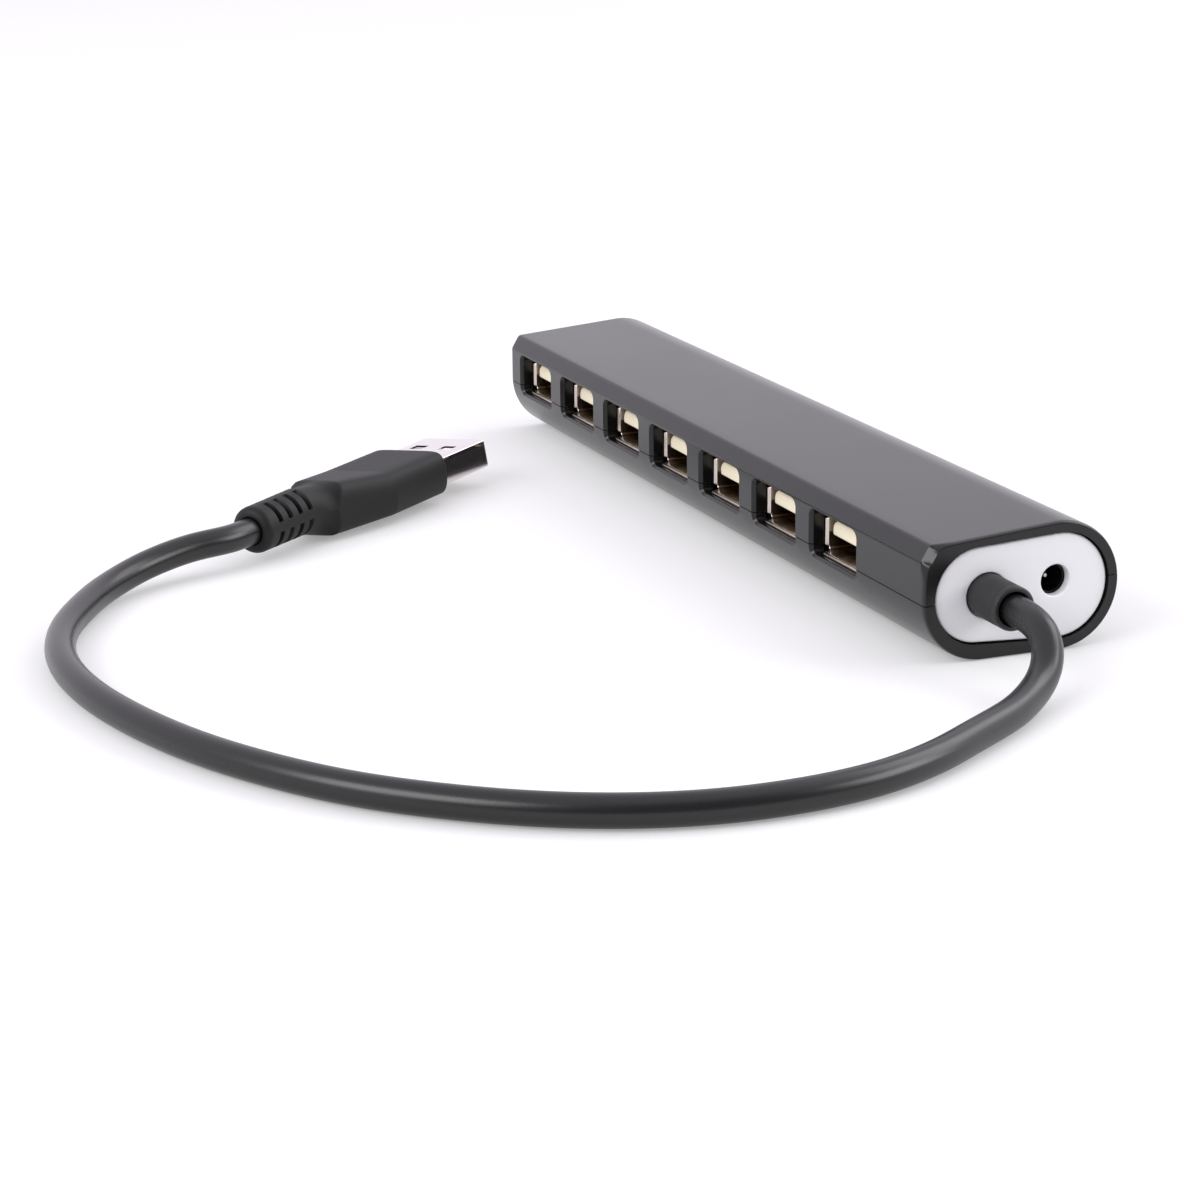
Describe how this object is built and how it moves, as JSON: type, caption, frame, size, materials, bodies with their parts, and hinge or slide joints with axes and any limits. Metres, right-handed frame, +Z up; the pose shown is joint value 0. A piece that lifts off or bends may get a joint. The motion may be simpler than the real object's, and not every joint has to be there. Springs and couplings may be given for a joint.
{
  "type": "usb hub",
  "caption": "Slim bar-shaped USB hub with a row of ports along one long side, a white end plate with a power jack, and a fixed cable with a USB-A plug.",
  "frame": {"origin": "centre of the case's box at the surface it rests on, without the cable, its collar and its plug", "axes": "+X along the case toward the cable end, -Y toward the side with the ports, +Z up"},
  "size_m": [0.2018, 0.1379, 0.018],
  "materials": {
    "case_black": "fine satin texture",
    "plate_white": "smooth satin",
    "bright_metal": "bright plated",
    "cream_plastic": "smooth",
    "cable_black": "satin",
    "board_green": "solder mask",
    "chip_black": "matte",
    "capacitor_blue": "sleeved",
    "wire_red": "satin",
    "wire_white": "satin",
    "wire_green": "satin",
    "wire_black": "satin"
  },
  "bodies": {
    "root": {"top_cover": "case_black", "bottom_case": "case_black", "end_plate": "plate_white", "main_board": "board_green", "usb_port_shell_1": "bright_metal", "usb_port_shell_2": "bright_metal", "usb_port_shell_3": "bright_metal", "usb_port_shell_4": "bright_metal", "usb_port_shell_5": "bright_metal", "usb_port_shell_6": "bright_metal", "usb_port_shell_7": "bright_metal", "usb_port_tongue_1": "cream_plastic", "usb_port_tongue_2": "cream_plastic", "usb_port_tongue_3": "cream_plastic", "usb_port_tongue_4": "cream_plastic", "usb_port_tongue_5": "cream_plastic", "usb_port_tongue_6": "cream_plastic", "usb_port_tongue_7": "cream_plastic", "dc_jack_body": "chip_black", "dc_jack_pin": "bright_metal", "dc_jack_spring": "bright_metal", "hub_controller": "chip_black", "crystal": "bright_metal", "voltage_regulator": "chip_black", "capacitor_1": "capacitor_blue", "capacitor_2": "capacitor_blue", "cable_collar": "cable_black", "cable_tail": "cable_black", "wire_red": "wire_red", "wire_white": "wire_white", "wire_green": "wire_green", "wire_black": "wire_black", "cable": "cable_black", "plug_overmould": "cable_black", "plug_shell": "bright_metal", "plug_insulator": "cream_plastic"}
  },
  "joints": []
}
